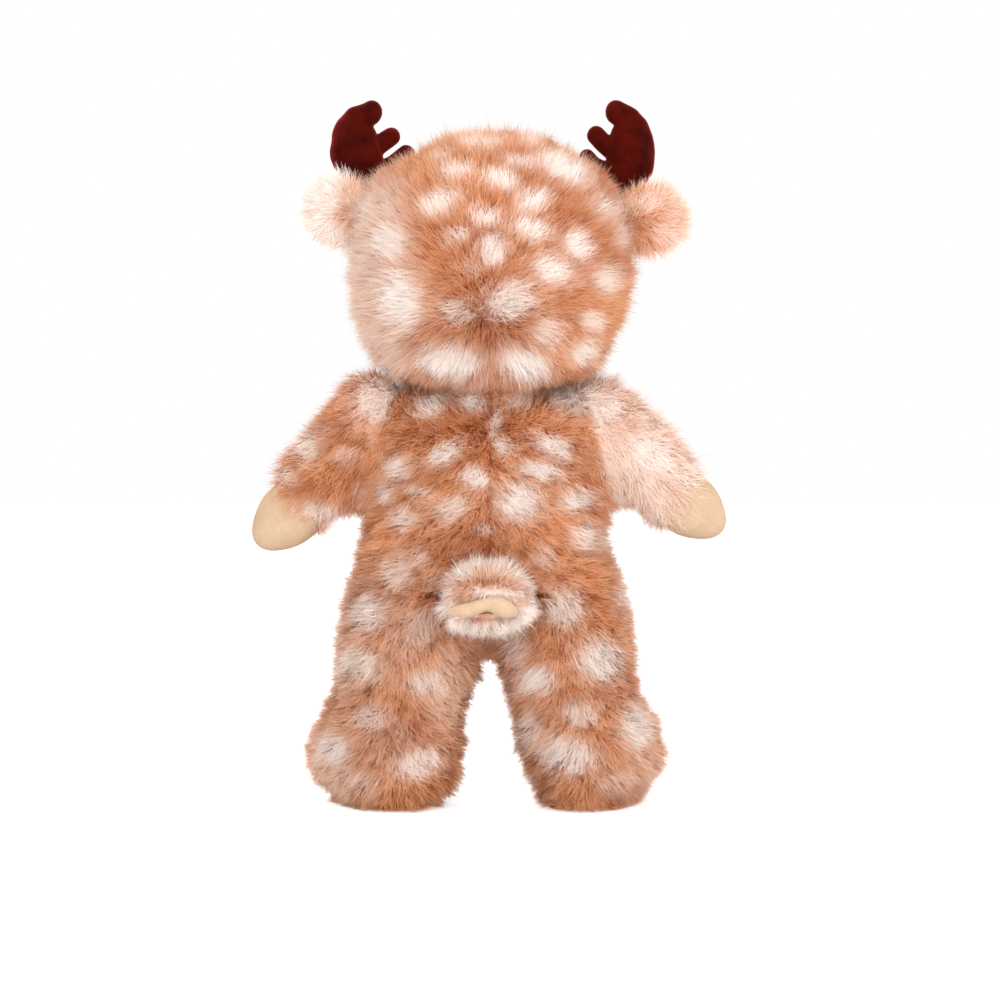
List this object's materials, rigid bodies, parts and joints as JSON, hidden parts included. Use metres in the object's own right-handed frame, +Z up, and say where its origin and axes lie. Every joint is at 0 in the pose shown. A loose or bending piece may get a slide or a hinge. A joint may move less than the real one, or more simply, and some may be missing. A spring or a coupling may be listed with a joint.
{
  "type": "stuffed deer doll",
  "caption": "Standing soft deer doll with spotted long-pile fur, velour hands, soles and antlers, and jointed head, arms and legs.",
  "frame": {"origin": "on the floor under the middle of the doll", "axes": "+Z up, -Y the way that the doll faces, +X the doll's own left"},
  "size_m": [0.2732, 0.177, 0.4095],
  "materials": {
    "spotted_fur": "long pile, tan with cream spots",
    "cream_fur": "long pile, cream",
    "cream_velour": "short-pile velour",
    "antler_velour": "short-pile velour, dark red-brown",
    "nose_velour": "short-pile velour, dark brown",
    "filling": "polyester wadding",
    "eye_plastic": "polished",
    "washer_plastic": "moulded"
  },
  "bodies": {
    "torso": {"torso_fur": "spotted_fur", "torso_filling": "filling"},
    "neck": {"neck_filling": "filling"},
    "head": {"head_fur": "spotted_fur", "head_filling": "filling", "muzzle": "cream_velour", "muzzle_filling": "filling", "nose": "nose_velour", "eye_left": "eye_plastic", "eye_right": "eye_plastic", "eye_washer_left": "washer_plastic", "eye_washer_right": "washer_plastic", "antler_left": "antler_velour", "antler_right": "antler_velour"},
    "ear_left": {"ear_left_fur": "spotted_fur", "ear_left_lining": "cream_velour"},
    "ear_right": {"ear_right_fur": "spotted_fur", "ear_right_lining": "cream_velour"},
    "arm_left": {"arm_left_fur": "spotted_fur", "arm_left_filling": "filling", "hand_left": "cream_velour"},
    "arm_right": {"arm_right_fur": "cream_fur", "arm_right_filling": "filling", "hand_right": "cream_velour"},
    "leg_left": {"leg_left_fur": "spotted_fur", "leg_left_filling": "filling", "sole_left": "cream_velour"},
    "leg_right": {"leg_right_fur": "spotted_fur", "leg_right_filling": "filling", "sole_right": "cream_velour"},
    "tail": {"tail_fur": "spotted_fur", "tail_lining": "cream_velour"}
  },
  "joints": [
    {"name": "head_turn", "type": "hinge", "parent": "torso", "child": "neck", "pos_m": [0, 0, 0.249], "axis": [0, 0, 1], "range_deg": [-30, 30], "stiffness_Nm_per_rad": 0.6},
    {"name": "head_nod", "type": "hinge", "parent": "neck", "child": "head", "pos_m": [0, 0, 0.249], "axis": [1, 0, 0], "range_deg": [-8, 10], "stiffness_Nm_per_rad": 1.2},
    {"name": "ear_left_fold", "type": "hinge", "parent": "head", "child": "ear_left", "pos_m": [0.0742, 0.006, 0.344], "axis": [0, 0, 1], "range_deg": [-15, 15], "stiffness_Nm_per_rad": 0.05},
    {"name": "ear_right_fold", "type": "hinge", "parent": "head", "child": "ear_right", "pos_m": [-0.0818, 0.006, 0.339], "axis": [0, 0, 1], "range_deg": [-15, 15], "stiffness_Nm_per_rad": 0.05},
    {"name": "arm_left_swing", "type": "hinge", "parent": "torso", "child": "arm_left", "pos_m": [0.06, 0, 0.209], "axis": [0.9613, 0, 0.2756], "range_deg": [-90, 40], "stiffness_Nm_per_rad": 0.3},
    {"name": "arm_right_swing", "type": "hinge", "parent": "torso", "child": "arm_right", "pos_m": [-0.06, 0, 0.209], "axis": [-0.9613, 0, 0.2756], "range_deg": [-40, 90], "stiffness_Nm_per_rad": 0.3},
    {"name": "leg_left_swing", "type": "hinge", "parent": "torso", "child": "leg_left", "pos_m": [0.0436, 0, 0.112], "axis": [1, 0, 0], "range_deg": [-30, 10], "stiffness_Nm_per_rad": 2.5},
    {"name": "leg_right_swing", "type": "hinge", "parent": "torso", "child": "leg_right", "pos_m": [-0.0436, 0, 0.112], "axis": [1, 0, 0], "range_deg": [-30, 10], "stiffness_Nm_per_rad": 2.5},
    {"name": "tail_lift", "type": "hinge", "parent": "torso", "child": "tail", "pos_m": [0, 0.05, 0.128], "axis": [1, 0, 0], "range_deg": [-15, 15], "stiffness_Nm_per_rad": 0.2}
  ]
}
